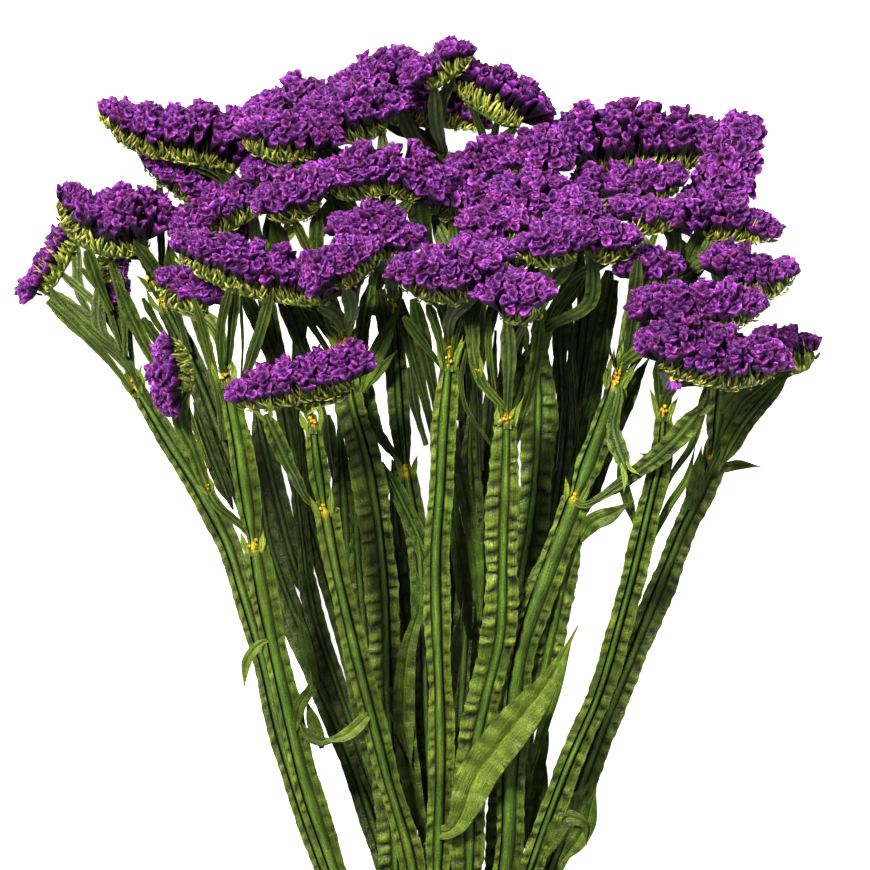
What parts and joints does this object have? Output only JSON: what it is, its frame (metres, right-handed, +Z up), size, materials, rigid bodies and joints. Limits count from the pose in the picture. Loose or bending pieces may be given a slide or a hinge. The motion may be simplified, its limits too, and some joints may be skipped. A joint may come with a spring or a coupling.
{
  "type": "dried statice bunch",
  "caption": "Tied bunch of dried purple statice lying on its side: winged green stems with one-sided spikes of papery calyces.",
  "frame": {"origin": "middle of the flat underside of the tie, on the surface that the bunch lies on", "axes": "+Y along the stems from the cut ends to the flowers, +X to the right seen from above, +Z up"},
  "size_m": [0.2941, 0.5147, 0.1284],
  "materials": {
    "calyces": "dry papery calyces, violet to magenta, darker between the funnels",
    "stems": "dry winged stems and bracts, mid green with yellow-green and brown bract tips, matte with a faint waxy rib",
    "tie": "plain natural twine"
  },
  "bodies": {
    "root": {"bloom_centre_1": "calyces", "bloom_centre_10": "calyces", "bloom_centre_11": "calyces", "bloom_centre_12": "calyces", "bloom_centre_2": "calyces", "bloom_centre_3": "calyces", "bloom_centre_4": "calyces", "bloom_centre_5": "calyces", "bloom_centre_6": "calyces", "bloom_centre_7": "calyces", "bloom_centre_8": "calyces", "bloom_centre_9": "calyces", "bloom_centre_left_1": "calyces", "bloom_centre_left_2": "calyces", "bloom_centre_left_3": "calyces", "bloom_centre_left_4": "calyces", "bloom_centre_left_5": "calyces", "bloom_centre_left_6": "calyces", "bloom_far_left_1": "calyces", "bloom_far_left_2": "calyces", "bloom_far_right": "calyces", "bloom_front_left": "calyces", "bloom_front_left_2": "calyces", "bloom_left_1": "calyces", "bloom_left_2": "calyces", "bloom_left_3": "calyces", "bloom_left_4": "calyces", "bloom_left_5": "calyces", "bloom_low_1": "calyces", "bloom_low_2": "calyces", "bloom_right_1": "calyces", "bloom_right_2": "calyces", "bloom_right_3": "calyces", "bloom_right_4": "calyces", "bloom_right_5": "calyces", "bloom_right_6": "calyces", "bloom_right_7": "calyces", "bloom_right_8": "calyces", "bloom_right_9": "calyces", "bloom_top_1": "calyces", "bloom_top_2": "calyces", "bloom_top_3": "calyces", "bloom_top_4": "calyces", "stem_centre": "stems", "stem_centre_back": "stems", "stem_centre_deep": "stems", "stem_centre_front": "stems", "stem_centre_left": "stems", "stem_centre_right": "stems", "stem_far_left": "stems", "stem_far_right": "stems", "stem_left": "stems", "stem_left_back": "stems", "stem_left_deep": "stems", "stem_left_front": "stems", "stem_right": "stems", "stem_right_deep": "stems", "stem_right_front": "stems", "stem_top": "stems", "tie": "tie"}
  },
  "joints": []
}
